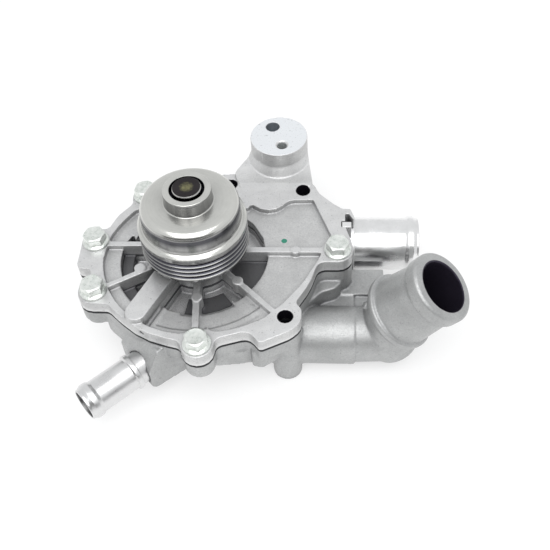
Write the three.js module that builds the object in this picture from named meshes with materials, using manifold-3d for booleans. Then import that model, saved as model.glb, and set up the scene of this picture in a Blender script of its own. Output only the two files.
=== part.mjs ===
// Automotive coolant pump: an aluminium rear housing and a ribbed front cover, with a grooved belt pulley
// on a shaft that turns in a bearing, a face seal and an impeller inside, and three hose ports.
// Millimetres. The shaft axis is Z, z = 0 is the rear mounting plane and +Z points to the pulley.
import * as THREE from "three";
import { mergeVertices } from "three/addons/utils/BufferGeometryUtils.js";
import Module from "manifold-3d";

const wasm = await Module();
wasm.setup();

// ---------- driving dimensions ----------
const GASKET_LOW = 45.3;
const GASKET_HIGH = 46.3;
const FACE_GAP = 0.05; // left on each side of the gasket
const COVER_TOP = 55;
const POCKET_FLOOR = 51.7;
const STEP_FLOOR = 45.8;
const DISH_FLOOR = 40;
const DISH_UNDER = 36;
const DISH_RADIUS = 46;
const CHAMBER_RADIUS = 50;
const WALL_BOTTOM = 24;
const LOBE_BOTTOM = 33;
const FLANGE_BOTTOM = 35.6;
const LOBE_RADIUS = 9.5;

const SHAFT_RADIUS = 8.6;
const SHAFT_LOW = 22;
const SHAFT_TOP = 112.4;
const ARC_STEP = THREE.MathUtils.degToRad(28);
const PRESS_GAP = 0.06; // radial, where a piece is pressed on the shaft or in a bore

const HUB_RADIUS = 20;
const HUB_TOP = 94;
const RACE_RADIUS = 15;
const RACE_LOW = 55;
const RACE_HIGH = 95.5;
const PITCH_RADIUS = 11;
const BALL_RADIUS = 2.85;
const BALL_Z = 84;
const ROLLER_RADIUS = 2.25;
const ROLLER_Z = 65;
const ROLLER_LENGTH = 9;

const SEAL_BORE = 18;
const SEAL_BORE_TOP = 49.3;

const PULLEY_LOW = 66;
const RIM_RADIUS = 33;
const GROOVE_COUNT = 4;
const GROOVE_PITCH = 3.56;

const BOLTS = [
  [-66.3, 8.1],
  [-60.6, -31.3],
  [6.7, -69.3],
  [87.2, 2.3],
  [-39.8, 49.2],
];
const MOUNT_HOLES = [
  [15.7, 59.6],
  [64.4, 54],
  [56.6, -49],
];
const BOLT_HOLE_RADIUS = 4.6;

const TENSIONER = { x: 47.6, y: 87.5, radius: 19.2, top: 73, foot: 59.5 };
const TENSIONER_THREAD = { x: 50.1, y: 78.8, radius: 3.3 };
const TENSIONER_LOCATOR = { x: 43, y: 96.8, radius: 4.6 };

// The suction duct runs along +X low on the right, and its elbow turns up into the hose neck.
const DUCT = { y: -35.9, z: 18, radius: 18, bore: 14, start: 30, end: 98 };
const MOUTH = new THREE.Vector3(147.9, -36, 68.5);
const NECK_TURN = THREE.MathUtils.degToRad(-10.1);
const NECK_RISE = THREE.MathUtils.degToRad(55.3);
const NECK_AXIS = new THREE.Vector3(
  Math.cos(NECK_RISE) * Math.cos(NECK_TURN),
  Math.cos(NECK_RISE) * Math.sin(NECK_TURN),
  Math.sin(NECK_RISE),
);
const NECK = { length: 36, bore: 16, radius: 20, root: 22, lip: 22, lipLength: 9 };

const RIGHT_TUBE = { y: 32.3, z: 27, radius: 17.4, wall: 1.6, start: 84, end: 140.1 };
const TUBE_BOSS = { radius: 22.5, end: 93.8 };
const COVER_EDGE_X = 92.2;
const COLLAR_TAB = { low: 22.2, high: 26.7, reach: 89.9 };
const LEFT_TUBE = { x: -34.4, y: -67.5, z: 24, radius: 10.3, wall: 1.5, turn: 223, inside: 18, length: 37 };

// ---------- materials ----------
function material(color, roughness, metalness) {
  return new THREE.MeshStandardMaterial({ color, roughness, metalness });
}

const CAST = material(0xc9cacc, 0.5, 0.8);
const STEEL = material(0xb9b9b4, 0.25, 1);
const BRIGHT = material(0xd8dadb, 0.15, 1);
const ZINC = material(0xd2d8d2, 0.35, 0.9);
const BLACK = material(0x17171a, 0.8, 0);
const BRASS = material(0xb08d4f, 0.4, 0.9);
const CARBON = material(0x2b2c2f, 0.5, 0.1);
const CERAMIC = material(0xe8e4d8, 0.3, 0);
const CAGE = material(0x8a8f94, 0.35, 0.9);

// ---------- solids ----------
// A three.js geometry as a manifold solid.
function solid(geometry) {
  const bare = geometry.index ? geometry.toNonIndexed() : geometry.clone();
  bare.deleteAttribute("normal");
  bare.deleteAttribute("uv");
  const merged = mergeVertices(bare, 1e-4);
  return new wasm.Manifold(
    new wasm.Mesh({
      numProp: 3,
      vertProperties: new Float32Array(merged.attributes.position.array),
      triVerts: new Uint32Array(merged.index.array),
    }),
  );
}

// A manifold solid back as a three.js geometry.
function geometryOf(body) {
  const mesh = body.getMesh();
  const geometry = new THREE.BufferGeometry();
  geometry.setAttribute("position", new THREE.BufferAttribute(mesh.vertProperties, 3));
  geometry.setIndex(new THREE.BufferAttribute(mesh.triVerts, 1));
  geometry.computeVertexNormals();
  return geometry;
}

function union(parts) {
  return parts.reduce((sum, part) => sum.add(part));
}

function cut(body, tools) {
  return tools.reduce((rest, tool) => rest.subtract(tool), body);
}

// A flat shape pulled up from z = low to z = high.
function prism(shape, low, high, curveSegments = 4) {
  const geometry = new THREE.ExtrudeGeometry(shape, {
    depth: high - low,
    bevelEnabled: false,
    curveSegments,
  });
  geometry.translate(0, 0, low);
  return solid(geometry);
}

// An upright cone or cylinder.
function post(x, y, low, high, radius, segments = 20, topRadius = radius) {
  const geometry = new THREE.CylinderGeometry(topRadius, radius, high - low, segments);
  geometry.rotateX(Math.PI / 2);
  geometry.translate(x, y, (low + high) / 2);
  return solid(geometry);
}

// A cone or cylinder from point a to point b.
function rod(a, b, radius, segments = 28, endRadius = radius) {
  const along = new THREE.Vector3().subVectors(b, a);
  const geometry = new THREE.CylinderGeometry(endRadius, radius, along.length(), segments);
  geometry.translate(0, along.length() / 2, 0);
  const turn = new THREE.Quaternion().setFromUnitVectors(new THREE.Vector3(0, 1, 0), along.normalize());
  geometry.applyQuaternion(turn);
  geometry.translate(a.x, a.y, a.z);
  return solid(geometry);
}

function ball(centre, radius, segments = 24) {
  const geometry = new THREE.SphereGeometry(radius, segments, segments / 2);
  geometry.translate(centre.x, centre.y, centre.z);
  return solid(geometry);
}

function box(low, high) {
  const geometry = new THREE.BoxGeometry(high[0] - low[0], high[1] - low[1], high[2] - low[2]);
  geometry.translate((low[0] + high[0]) / 2, (low[1] + high[1]) / 2, (low[2] + high[2]) / 2);
  return solid(geometry);
}

// A closed profile of [radius, z] points, counter-clockwise, turned round the Z axis.
function latheGeometry(profile, segments) {
  const points = profile.map(([r, z]) => new THREE.Vector2(r, z));
  if (profile[0][0] > 0) points.push(points[0].clone());
  return new THREE.LatheGeometry(points, segments).rotateX(Math.PI / 2);
}

function turned(profile, segments = 36) {
  return solid(latheGeometry(profile, segments));
}

// A closed profile of [radius, distance] points turned round the line from a point along an axis.
function turnedAlong(profile, from, axis, segments) {
  const turn = new THREE.Matrix4().makeRotationFromQuaternion(
    new THREE.Quaternion().setFromUnitVectors(new THREE.Vector3(0, 0, 1), axis),
  );
  turn.setPosition(from);
  return solid(latheGeometry(profile, segments).applyMatrix4(turn));
}

// A closed outline from corner points [x, y, fillet radius].
function rounded(corners) {
  const shape = new THREE.Shape();
  corners.forEach(([x, y, radius], i) => {
    const here = new THREE.Vector2(x, y);
    const before = corners[(i + corners.length - 1) % corners.length];
    const after = corners[(i + 1) % corners.length];
    const back = new THREE.Vector2(before[0], before[1]).sub(here).normalize();
    const on = new THREE.Vector2(after[0], after[1]).sub(here).normalize();
    const half = Math.acos(THREE.MathUtils.clamp(back.dot(on), -1, 1)) / 2;
    const reach = radius / Math.tan(half);
    const enter = here.clone().addScaledVector(back, reach);
    const leave = here.clone().addScaledVector(on, reach);
    if (i === 0) shape.moveTo(enter.x, enter.y);
    else shape.lineTo(enter.x, enter.y);
    if (radius > 0) {
      const middle = back.clone().add(on).normalize().multiplyScalar(radius / Math.sin(half)).add(here);
      const sweep = Math.PI - 2 * half;
      const side = back.cross(on) > 0 ? -1 : 1;
      const steps = Math.ceil(sweep / ARC_STEP);
      for (let k = 1; k <= steps; k++) {
        const point = enter.clone().rotateAround(middle, (side * sweep * k) / steps);
        shape.lineTo(point.x, point.y);
      }
    }
  });
  shape.closePath();
  return shape;
}

// A ring sector between two radii and two angles in degrees, round the pump's axis.
function sector(inner, outer, from, to) {
  const a = THREE.MathUtils.degToRad(from);
  const b = THREE.MathUtils.degToRad(to);
  const shape = new THREE.Shape();
  shape.absarc(0, 0, outer, a, b, false);
  shape.absarc(0, 0, inner, b, a, true);
  shape.closePath();
  return shape;
}

// A straight rib from a to b with sloping sides.
function rib(a, b, topWidth, baseWidth, low, high) {
  const length = Math.hypot(b[0] - a[0], b[1] - a[1]);
  const section = new THREE.Shape();
  section.moveTo(-baseWidth / 2, low);
  section.lineTo(baseWidth / 2, low);
  section.lineTo(topWidth / 2, high);
  section.lineTo(-topWidth / 2, high);
  section.closePath();
  const geometry = new THREE.ExtrudeGeometry(section, { depth: length, bevelEnabled: false });
  geometry.rotateX(Math.PI / 2);
  geometry.rotateZ(Math.PI + Math.atan2(b[1] - a[1], b[0] - a[0]) - Math.PI / 2);
  geometry.translate(a[0], a[1], 0);
  return solid(geometry);
}

// ---------- outlines shared by the cover, the gasket and the housing flange ----------
const OUTLINE = rounded([
  [96.7, -7.2, 9],
  [96.7, 8, 12],
  [COVER_EDGE_X, 22, 14],
  [COVER_EDGE_X, 36.5, 2.5],
  [84, 42.5, 12],
  [75.5, 51, 4],
  [71, 61, 6],
  [57, 64, 8],
  [34, 56, 10],
  [27, 62, 6],
  [21, 70, 8],
  [7.5, 69, 8],
  [-2, 62, 12],
  [-26, 60, 12],
  [-38, 60.5, 9],
  [-49.8, 54, 9],
  [-48, 41.5, 5],
  [-56.2, 30.5, 12],
  [-60.3, 19, 4],
  [-75.6, 19, 9.3],
  [-75.1, -14, 4.5],
  [-65.5, -14, 3],
  [-65, -21, 2.5],
  [-70.3, -24, 5],
  [-70.3, -41, 9.3],
  [-51, -41, 6],
  [-42, -49.5, 30],
  [-28, -60.5, 30],
  [-10, -66.2, 30],
  [-2.9, -67.5, 5],
  [-2.9, -79, 9.3],
  [16.3, -79, 9.3],
  [16.3, -65.5, 5],
  [35.5, -59.5, 7],
  [42.5, -68, 2.2],
  [60, -59.3, 9],
  [66.2, -53, 8],
  [66.2, -43.5, 5],
  [62.5, -38.5, 3],
  [70.5, -24, 30],
  [75.5, -7.2, 6],
]);

// The band's inner edge: everything inside it is sunk to the pocket floor, ribs apart.
const BAND_INNER = rounded([
  [76.8, -1, 4],
  [74.5, -7, 12],
  [66, -24, 40],
  [54, -40, 8],
  [44.5, -49.5, 8],
  [30, -57, 30],
  [13, -61, 8],
  [11.5, -58.3, 3],
  [1.5, -58.3, 3],
  [0.5, -62, 6],
  [-12, -61, 30],
  [-24, -56.5, 20],
  [-33, -51.5, 10],
  [-44, -41.5, 30],
  [-51.5, -30.5, 3],
  [-57.5, -16, 30],
  [-59.7, -2, 20],
  [-58, 5, 3],
  [-57.6, 13, 8],
  [-53, 24, 30],
  [-45.5, 35.5, 5],
  [-33, 41, 10],
  [-20, 50, 20],
  [4, 50, 20],
  [18, 44, 10],
  [28, 36.8, 2],
  [31.3, 41.6, 1.2],
  [37, 36.2, 14],
  [48, 36.2, 12],
  [55.5, 45.2, 7],
  [71.3, 45.6, 1.2],
  [83.5, 13.5, 2],
  [77.2, 5.5, 8],
]);

// ---------- front cover ----------
const CORNER_WINDOW = [
  [-48, 9.4, 1],
  [-41, 9.4, 0.8],
  [-44, 18, 1],
];
const BOLT_CLEARANCE = 4.4;

// The small hook on the cover's right edge, which curls round the tab of the tube's collar.
const HOOK = [
  [COVER_EDGE_X, 33.2, 0.6],
  [94.4, 33.2, 1],
  [96.8, 28.8, 0.6],
  [98.2, 29.4, 0.6],
  [95.6, 37.8, 2],
  [89.5, 38, 0.5],
];

const PADS = [
  { x: 61, y: 2.4, radius: 3.3 },
  { x: 26.7, y: -22.5, radius: 3.4 },
  { x: 3.1, y: -35.5, radius: 3.4 },
  { x: -34.8, y: -13, radius: 3.8 },
];

// The wide radial arm that holds the drain passage from the seal to the rim.
const ARM = { from: [-13.5, -10], to: [-31.4, -48.8], width: 13.2, base: 15.4, top: 58.5 };
const ARM_OUT = new THREE.Vector3(ARM.to[0], ARM.to[1], 0)
  .sub(new THREE.Vector3(ARM.from[0], ARM.from[1], 0))
  .normalize();
const DRAIN = { radius: 1.6, z: 51.2, start: 9, rim: 63.5, weep: [-18.6, -20.6] };

// What ribs and bosses may fill: the plate itself and the dish behind its middle.
function castEnvelope() {
  return prism(OUTLINE, GASKET_HIGH + FACE_GAP, HUB_TOP).add(post(0, 0, DISH_UNDER, HUB_TOP, DISH_RADIUS, 32));
}

function coverRibs() {
  return [
    rib([14, 2.4], [78, 2.4], 4.2, 5, STEP_FLOOR, COVER_TOP),
    rib([14, -10], [50, -45.8], 3.4, 4.4, STEP_FLOOR, COVER_TOP),
    rib([1.4, -18], [4.6, -62], 4, 6, DISH_FLOOR, COVER_TOP),
    rib([-14, -4], [-54, -27.5], 3.6, 4.4, DISH_FLOOR, COVER_TOP),
    rib([-15, 6.8], [-59, 6.8], 4, 4.6, DISH_FLOOR, COVER_TOP),
    rib([-10, 14], [-36, 46], 4, 4.6, DISH_FLOOR, COVER_TOP),
    rib([6, 16], [20, 52], 4, 4.6, DISH_FLOOR, COVER_TOP),
  ];
}

// Steps in the sunk floor, like stairs going down towards the hub: inner and outer radius, start and end
// angle in degrees, and the height of each floor.
const STEPS = [
  [HUB_RADIUS - 3, 42.6, 2, 150, DISH_FLOOR],
  [HUB_RADIUS - 3, 44, 149, 173, DISH_FLOOR],
  [41.8, 49, 171, 208, STEP_FLOOR],
  [HUB_RADIUS - 3, 41.9, 171, 212, DISH_FLOOR],
  [43.3, 52, 206, 238, STEP_FLOOR],
  [HUB_RADIUS - 3, 43.4, 208, 246, DISH_FLOOR],
  [HUB_RADIUS - 3, 44, 244, 263, DISH_FLOOR],
  [HUB_RADIUS - 3, 30, 260, 318, DISH_FLOOR],
  [28, 42, 260, 306, STEP_FLOOR],
  [28, 44, 305, 319, DISH_FLOOR],
  [HUB_RADIUS - 3, 43.8, 318, 362, STEP_FLOOR],
];
// Shallow steps in the pocket floors: outer radius, start and end angle, floor height.
const POCKET_STEPS = [
  [57.5, 250, 317, 50.8],
  [62, 252, 312, 51.5],
  [60, 208, 238, 51.4],
];

const SLOPE = { inner: 42, outer: 46.7, high: 50.8 };

function stepCuts(steps) {
  return steps.map(([inner, outer, from, to, floor]) => prism(sector(inner, outer, from, to), floor, COVER_TOP + 4));
}

// The ring slope between the pocket floor and the step floor at the bottom of the cover.
function coverSlope() {
  const cone = post(0, 0, STEP_FLOOR, SLOPE.high + 0.2, SLOPE.inner - 0.2, 32, SLOPE.outer + 0.2);
  return cone.intersect(prism(sector(30, 60, 262, 304), STEP_FLOOR - 1, COVER_TOP));
}

function armBody() {
  const bar = rib(ARM.from, ARM.to, ARM.width, ARM.base, DISH_FLOOR, ARM.top);
  return bar.add(post(ARM.to[0], ARM.to[1], DISH_FLOOR, ARM.top, ARM.base / 2, 24, ARM.width / 2));
}

// The tensioner boss on its arm, which rises from the cover's upper edge.
function tensionerArm() {
  const t = TENSIONER;
  const low = GASKET_HIGH + FACE_GAP;
  const plan = rounded([
    [t.x - t.radius, t.y - 2, 0],
    [17.5, 68.5, 6],
    [25.5, 50.5, 3],
    [56, 55, 3],
    [71, 58, 4],
    [t.x + t.radius, t.y - 2, 0],
  ]);
  // The top of the arm slopes gently up from the cover to the foot of the boss.
  const roof = new THREE.BoxGeometry(120, 120, 40);
  roof.translate(0, 0, 20);
  roof.rotateX(Math.atan2(4.5, 30));
  roof.translate(t.x, 54, COVER_TOP);
  const arm = prism(plan, low, 70).subtract(solid(roof));
  const flare = post(t.x, t.y, t.foot - 3, t.foot + 3.4, t.radius + 4.5, 32, t.radius);
  const boss = post(t.x, t.y, low, t.top, t.radius, 32);
  return union([arm, flare.intersect(prism(plan, low, 70)), boss]);
}

// Threaded hole with its chamfer, and the blind locating hole, in the tensioner's face.
function tensionerHoles() {
  const { top } = TENSIONER;
  const thread = TENSIONER_THREAD;
  const locator = TENSIONER_LOCATOR;
  return [
    post(thread.x, thread.y, top - 20, top + 1, thread.radius, 18),
    post(thread.x, thread.y, top - 1, top + 0.1, thread.radius, 18, thread.radius + 1.1),
    post(locator.x, locator.y, top - 10, top + 1, locator.radius, 18),
  ];
}

function frontCover() {
  const low = GASKET_HIGH + FACE_GAP;
  let body = prism(OUTLINE, low, COVER_TOP).subtract(prism(BAND_INNER, POCKET_FLOOR, COVER_TOP + 1));
  body = body.subtract(union(stepCuts(POCKET_STEPS.map((step) => [20, ...step]))).intersect(
    prism(BAND_INNER, GASKET_LOW, COVER_TOP + 1),
  ));
  body = body.add(post(0, 0, DISH_UNDER, low + 1, DISH_RADIUS, 32));
  body = body.add(prism(sector(40, 54.5, 148, 242), low - 4, low + 0.2));
  body = cut(body, stepCuts(STEPS));
  body = body.subtract(prism(rounded(CORNER_WINDOW), DISH_FLOOR + 4, COVER_TOP));
  body = body.subtract(coverSlope());
  const reach = castEnvelope();
  const raised = [...coverRibs(), armBody()].map((bar) => bar.intersect(reach));
  body = union([body, ...raised, tensionerArm()]);
  for (const pad of PADS) {
    const raised = post(pad.x, pad.y, STEP_FLOOR, COVER_TOP + 0.3, pad.radius, 14);
    body = body.add(raised.intersect(reach));
  }
  for (const [x, y] of BOLTS) body = body.add(post(x, y, low, COVER_TOP + 0.2, LOBE_RADIUS - 0.6, 18));
  body = body.add(post(0, 0, DISH_UNDER, HUB_TOP, HUB_RADIUS + 2, 28, HUB_RADIUS));
  body = body.add(prism(rounded(HOOK), low, COVER_TOP));
  // bores for the bearing, the seal and the shaft between them
  body = cut(body, [
    post(0, 0, RACE_LOW - 0.1, HUB_TOP + 1, RACE_RADIUS + PRESS_GAP, 28),
    post(0, 0, DISH_UNDER - 1, SEAL_BORE_TOP, SEAL_BORE, 28),
    post(0, 0, SEAL_BORE_TOP - 1, RACE_LOW + 1, 11.5),
    ...BOLTS.map(([x, y]) => post(x, y, low - 1, COVER_TOP + 1, BOLT_CLEARANCE, 12)),
    ...MOUNT_HOLES.map(([x, y]) => post(x, y, low - 1, COVER_TOP + 6, BOLT_HOLE_RADIUS, 14)),
    ...tensionerHoles(),
  ]);
  // the drain passage: a drilled hole along the arm, plugged at the rim, and its opening on top
  const drain = ARM_OUT.clone().setZ(0);
  body = body.subtract(
    rod(
      drain.clone().multiplyScalar(DRAIN.start).setZ(DRAIN.z),
      drain.clone().multiplyScalar(70).setZ(DRAIN.z),
      DRAIN.radius,
      12,
    ),
  );
  body = body.subtract(post(DRAIN.weep[0], DRAIN.weep[1], DRAIN.z, ARM.top + 1, DRAIN.radius, 12));
  // room for the locating tab of the tube's collar
  const tab = COLLAR_TAB;
  body = body.subtract(box([tab.reach - 0.3, tab.low - 0.4, low - 1], [100, tab.high + 0.4, COVER_TOP + 1]));
  return body;
}

// ---------- rear housing ----------
// The lug beside the lower right mounting boss.
const LUG = [
  [36.5, -64, 2],
  [43, -65, 2],
  [54, -57, 3],
  [52, -48, 2],
  [36, -54, 2],
];

// The web between the flange wall and the suction duct, and the flat-topped block above the elbow.
const DUCT_WEB = [
  [60, -45, 1],
  [62.5, -36, 1],
  [70, -22, 4],
  [75, -6, 2],
  [98, -6, 1],
  [98, -40, 1],
];
const DUCT_WEB_LOW = 5;
const DUCT_WEB_TOP = 25.4;
const FLAT_BLOCK = { low: [88, -10, 8], high: [117.2, 10.7, 26.2] };
// The shoulder that fills the corner between the web, the block and the bend.
const SHOULDER = { low: [96, -26, 6], high: [112.4, -9, 24.2] };
// The part of the flange whose wall runs straight down to the web.
const STRAIGHT_WALL = { low: [64, -46, 22], high: [100, 1, 37] };
// A small cast nub beside the neck foot.
const NUB = { from: new THREE.Vector3(109, -32.3, 41), to: new THREE.Vector3(103, -32.3, 44.8), radius: 2.3 };

function housingBosses() {
  const low = GASKET_LOW - 1;
  return [
    ...MOUNT_HOLES.map(([x, y]) => post(x, y, 0, low, LOBE_RADIUS - 0.5, 18)),
    ...BOLTS.map(([x, y]) => post(x, y, LOBE_BOTTOM, low, LOBE_RADIUS - 0.5, 18)),
  ];
}

// The block that the left tube is pressed into, in its own frame: x along the tube, z up.
function noseBlock() {
  const width = 31;
  const side = new THREE.Shape();
  side.moveTo(30, 8);
  side.lineTo(66, 12);
  side.lineTo(68.4, 15);
  side.lineTo(68.4, 30);
  side.lineTo(60, 44);
  side.lineTo(30, 44);
  side.closePath();
  const geometry = new THREE.ExtrudeGeometry(side, { depth: width, bevelEnabled: false });
  geometry.rotateX(Math.PI / 2);
  geometry.translate(0, 37.8, 0);
  geometry.rotateZ(THREE.MathUtils.degToRad(LEFT_TUBE.turn));
  return solid(geometry);
}

// Where the neck leaves the elbow, and the middle of the bend below it.
const NECK_FOOT = MOUTH.clone().addScaledVector(NECK_AXIS, -NECK.length).add(new THREE.Vector3(-1.6, 0, 1.2));
const BEND = new THREE.Vector3(119, -34, DUCT.z + 1.5);

// The hose neck with its root ring and machined lip, turned about the neck's axis.
function neckBody() {
  const tip = NECK.length;
  return turnedAlong(
    [
      [0, -6],
      [NECK.root, -6],
      [NECK.root + 2.2, -3],
      [NECK.root + 2.2, 0],
      [NECK.root, 0.6],
      [NECK.radius, tip - NECK.lipLength],
      [NECK.lip, tip - NECK.lipLength],
      [NECK.lip, tip - 1.4],
      [NECK.lip - 1.4, tip],
      [0, tip],
    ],
    NECK_FOOT,
    MOUTH.clone().sub(NECK_FOOT).normalize(),
    28,
  );
}

function elbow() {
  const d = DUCT;
  const seam = new THREE.Vector3(d.end, d.y, d.z);
  const above = box([d.start, -80, 0], [200, 20, 90]);
  return union([
    rod(seam.clone().setX(d.start), seam, d.radius, 24),
    rod(seam.clone().setX(d.end - 5), BEND, d.radius - 1, 24, d.radius + 0.4),
    ball(BEND, d.radius + 1.5, 16),
    rod(BEND, NECK_FOOT, d.radius, 24, NECK.root),
    neckBody(),
  ]).intersect(above);
}

function elbowBore() {
  const d = DUCT;
  const start = new THREE.Vector3(46, d.y, d.z);
  return [
    rod(new THREE.Vector3(8, d.y + 14, d.z - 4), new THREE.Vector3(50, d.y, d.z), d.bore - 2, 14),
    rod(start, BEND.clone().setZ(d.z), d.bore, 18),
    ball(BEND, d.bore + 0.4, 14),
    rod(BEND, MOUTH.clone().addScaledVector(NECK_AXIS, 5), NECK.bore - 1.5, 20, NECK.bore + 0.1),
  ];
}

// The boss that the right tube is pressed into, with its foot, and what joins it to the duct and the elbow.
function rightPort() {
  const t = RIGHT_TUBE;
  const b = TUBE_BOSS;
  const under = box([40, -60, 0], [140, 90, GASKET_LOW - 0.3]);
  return [
    rod(new THREE.Vector3(58, t.y, t.z), new THREE.Vector3(b.end, t.y, t.z), b.radius, 24).intersect(under),
    box([58, t.y - 12, 4], [86, t.y + 12, t.z]),
    box(FLAT_BLOCK.low, FLAT_BLOCK.high),
    box(SHOULDER.low, SHOULDER.high),
    prism(rounded(DUCT_WEB), DUCT_WEB_LOW, DUCT_WEB_TOP),
    prism(OUTLINE, STRAIGHT_WALL.low[2], FLANGE_BOTTOM + 1).intersect(
      box(STRAIGHT_WALL.low, STRAIGHT_WALL.high),
    ),
    rod(NUB.from, NUB.to, NUB.radius, 12),
  ];
}

function rearHousing() {
  const top = GASKET_LOW;
  const wall = rounded([
    [90, -14, 10],
    [90, 34, 8],
    [74, 46, 10],
    [60, 58, 10],
    [20, 60, 12],
    [-20, 60, 20],
    [-44, 44, 20],
    [-61, 18, 20],
    [-63, -12, 20],
    [-56, -38, 14],
    [-30, -60, 30],
    [0, -66, 30],
    [34, -62, 20],
    [58, -50, 12],
    [66, -30, 12],
    [78, -16, 10],
  ]);
  const t = RIGHT_TUBE;
  let body = union([
    prism(OUTLINE, FLANGE_BOTTOM, top),
    prism(wall, WALL_BOTTOM, LOBE_BOTTOM + 4),
    post(0, 0, 0, WALL_BOTTOM + 2, 34, 28, 46),
    ...housingBosses(),
    ...rightPort(),
    noseBlock(),
    elbow(),
    prism(rounded(LUG), 24, top - 6),
  ]);
  // volute chamber, suction chamber with its eye, and the ways in from the ports
  body = cut(body, [
    post(0, 0, 20, top + 1, CHAMBER_RADIUS, 32),
    prism(sector(20, 55.2, 147, 243), top - 4, top + 1),
    post(0, 0, 15, 21, 19, 20),
    post(0, 0, 4, 16, 26, 20),
    ...elbowBore(),
    rod(new THREE.Vector3(40, t.y - 2, t.z + 2), new THREE.Vector3(t.start + 1, t.y, t.z), 12.5, 16),
    rod(new THREE.Vector3(t.start - 0.4, t.y, t.z), new THREE.Vector3(t.end, t.y, t.z), t.radius + 0.15, 28),
    rod(new THREE.Vector3(TUBE_BOSS.end, t.y, t.z), new THREE.Vector3(t.end, t.y, t.z), t.radius + 4, 20),
    box([COLLAR_TAB.reach - 0.5, COLLAR_TAB.low - 0.5, t.z], [100, COLLAR_TAB.high + 0.5, top + 1]),
    ...BOLTS.map(([x, y]) => post(x, y, LOBE_BOTTOM + 1.5, top + 1, 4.15, 10)),
    ...MOUNT_HOLES.map(([x, y]) => post(x, y, -1, top + 1, BOLT_HOLE_RADIUS, 14)),
    leftTubeHole(),
  ]);
  return body;
}

// ---------- hose tubes ----------
function leftAxis() {
  const angle = THREE.MathUtils.degToRad(LEFT_TUBE.turn);
  return new THREE.Vector3(Math.cos(angle), Math.sin(angle), 0);
}

function leftTubeHole() {
  const t = LEFT_TUBE;
  const base = new THREE.Vector3(t.x, t.y, t.z);
  const out = leftAxis();
  const inner = base.clone().addScaledVector(out, -t.inside - 0.3);
  return rod(inner, base.clone().addScaledVector(out, 20), t.radius + 0.15, 32)
    .add(rod(base.clone().addScaledVector(out, -t.inside - 22), base, t.radius - t.wall, 24));
}

// A tube with its lower end at z = 0, a bead near its free end and, at seat, an optional stop ring.
function beadedTube(radius, wall, length, seat, bead, segments) {
  const raised = radius + 1.3;
  const ring = seat ? [[radius, seat], [raised, seat + 0.3], [raised, seat + 3], [radius, seat + 3.6]] : [];
  return turned(
    [
      [radius - wall, 0],
      [radius, 0],
      ...ring,
      [radius, length - 8.6],
      [radius + bead, length - 6.6],
      [radius + bead, length - 3.4],
      [radius + 0.2, length - 0.8],
      [radius - 0.4, length],
      [radius - wall, length],
    ],
    segments,
  );
}

// The thin ring against the right tube's seat, with a tab that stands in the notch of the cover's edge.
function tubeCollar() {
  const t = RIGHT_TUBE;
  const tab = COLLAR_TAB;
  const from = new THREE.Vector3(TUBE_BOSS.end + 0.3, t.y, t.z);
  const to = from.clone().setX(from.x + 4.2);
  const ring = rod(from, to, t.radius + 1.6, 36);
  const front = to.x - 2.4;
  const high = COVER_TOP - 0.6;
  const arm = box([tab.reach + 0.2, tab.low, t.z + t.radius - 0.4], [front, tab.high, high]);
  const foot = box([from.x, tab.low, t.z + t.radius - 3], [front, tab.high, high]);
  const bore = rod(from.clone().setX(from.x - 10), to.clone().setX(to.x + 10), t.radius + 0.2, 36);
  return union([ring, arm, foot]).subtract(bore);
}

// ---------- rotating pieces ----------
function pulley() {
  const rim = [[RIM_RADIUS, PULLEY_LOW], [RIM_RADIUS, PULLEY_LOW + 1.9]];
  for (let i = 0; i < GROOVE_COUNT; i++) {
    const z = PULLEY_LOW + 1.9 + i * GROOVE_PITCH;
    rim.push([RIM_RADIUS - 2.7, z + 1.7], [RIM_RADIUS - 0.1, z + 3.1], [RIM_RADIUS - 0.1, z + GROOVE_PITCH]);
  }
  rim.push([RIM_RADIUS, 85], [32.3, 86.2], [30.6, 86.9], [29.9, 88.8]);
  const shoulder = 5.5;
  for (let i = 0; i <= 3; i++) {
    const a = (i / 3) * (Math.PI / 2);
    rim.push([29.9 - shoulder + shoulder * Math.cos(a), 101.9 - shoulder + shoulder * Math.sin(a)]);
  }
  const bore = SHAFT_RADIUS + PRESS_GAP;
  return turned([
    ...rim,
    [15.2, 101.9],
    [14.1, 103],
    [14.1, 110.5],
    [13.5, 111.1],
    [10.3, 111.1],
    [10.3, 106.5],
    [bore, 106.5],
    [bore, 97.5],
    [11.5, 97.5],
    [24, 99],
    [27.2, 95.5],
    [28.3, 87.5],
    [28.3, 68],
    [29.4, PULLEY_LOW],
  ], 28);
}

function shaft() {
  const groove = [];
  const radius = BALL_RADIUS + 0.12;
  const widest = Math.acos((PITCH_RADIUS - SHAFT_RADIUS) / radius);
  for (let i = -2; i <= 2; i++) {
    const a = (i / 2) * widest;
    groove.push([PITCH_RADIUS - radius * Math.cos(a), BALL_Z + radius * Math.sin(a)]);
  }
  return turned(
    [
      [0, SHAFT_LOW],
      [SHAFT_RADIUS - 0.8, SHAFT_LOW],
      [SHAFT_RADIUS, SHAFT_LOW + 0.8],
      ...groove,
      [SHAFT_RADIUS, SHAFT_TOP - 0.9],
      [SHAFT_RADIUS - 1.3, SHAFT_TOP],
      [0, SHAFT_TOP],
    ],
    20,
  );
}

function race() {
  const inner = RACE_RADIUS - 1.6;
  return turned([
    [inner, RACE_LOW],
    [RACE_RADIUS, RACE_LOW],
    [RACE_RADIUS, RACE_HIGH],
    [inner, RACE_HIGH],
    [inner, BALL_Z + 2],
    [14.15, BALL_Z + 1.2],
    [14.15, BALL_Z - 1.2],
    [inner, BALL_Z - 2],
  ], 28);
}

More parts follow.
